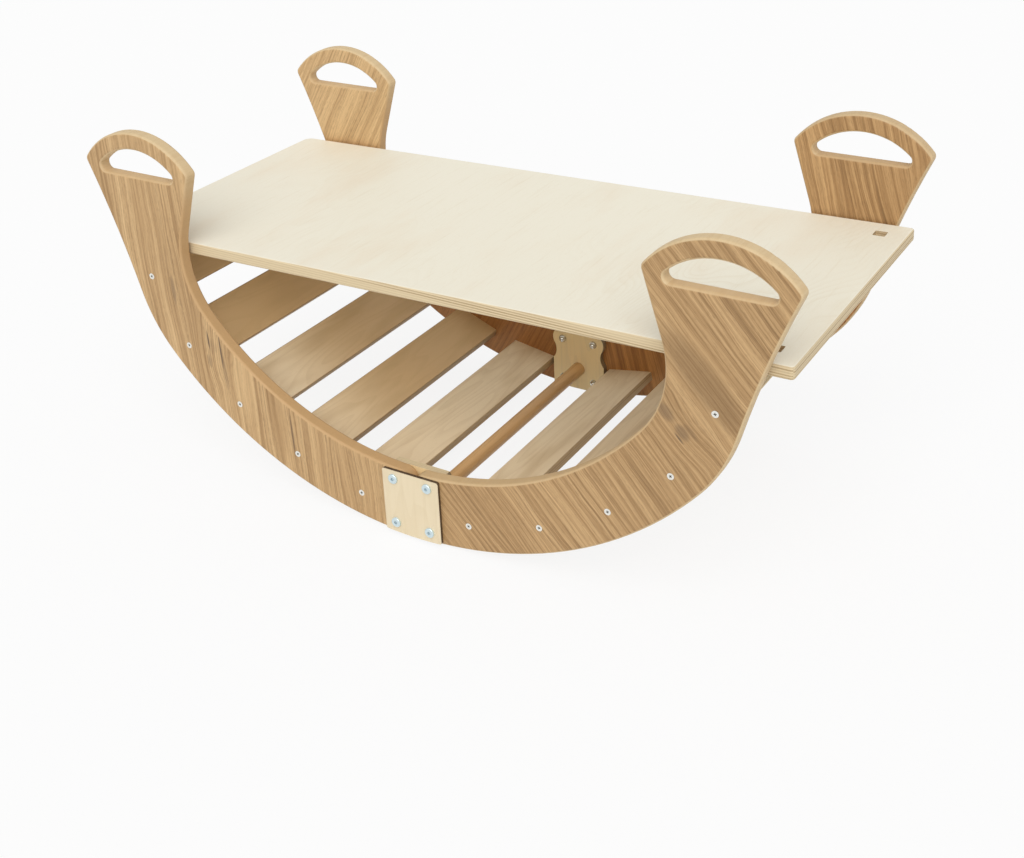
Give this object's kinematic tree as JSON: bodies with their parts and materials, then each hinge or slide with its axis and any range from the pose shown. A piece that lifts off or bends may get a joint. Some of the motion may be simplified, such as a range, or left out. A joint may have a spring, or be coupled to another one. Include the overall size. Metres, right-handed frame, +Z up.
{
  "type": "balance rocker",
  "caption": "Wooden balance rocker for children: two C-shaped sides with handles, cross slats and a round rung between them, and a loose board laid across the top.",
  "frame": {"origin": "on the floor, under the middle of the two runners, with the rocker standing level", "axes": "+X along the rocker towards the board's slotted end, +Y across it towards the back side, +Z up"},
  "size_m": [0.9428, 0.4508, 0.4594],
  "materials": {
    "side_wood": "oiled brown veneer, satin",
    "birch_plate": "pale birch ply, matt",
    "slat_wood": "pale ply, matt",
    "beech": "turned beech, satin",
    "birch_board": "pale birch ply, matt",
    "batten_wood": "pale wood, matt",
    "screw_steel": "zinc plated",
    "bolt_steel": "zinc plated",
    "nut_steel": "polished"
  },
  "bodies": {
    "rocker": {"front_left_side": "side_wood", "front_right_side": "side_wood", "back_left_side": "side_wood", "back_right_side": "side_wood", "front_outer_plate": "birch_plate", "back_outer_plate": "birch_plate", "front_inner_plate": "birch_plate", "back_inner_plate": "birch_plate", "rung": "beech", "slat_1": "slat_wood", "slat_2": "slat_wood", "slat_3": "slat_wood", "slat_4": "slat_wood", "slat_5": "slat_wood", "slat_6": "slat_wood", "slat_7": "slat_wood", "slat_8": "slat_wood", "slat_9": "slat_wood", "slat_10": "slat_wood", "front_slat_screws": "screw_steel", "back_slat_screws": "screw_steel", "front_plate_bolts": "bolt_steel", "back_plate_bolts": "bolt_steel", "front_dome_nuts": "nut_steel", "back_dome_nuts": "nut_steel"},
    "loose_board": {"board": "birch_board", "batten_1": "batten_wood", "batten_2": "batten_wood", "batten_3": "batten_wood", "batten_4": "batten_wood", "batten_screws": "screw_steel"}
  },
  "joints": [
    {"name": "board_lift", "type": "slide", "parent": "rocker", "child": "loose_board", "axis": [0, 0, 1], "range_m": [0, 0.25]}
  ]
}
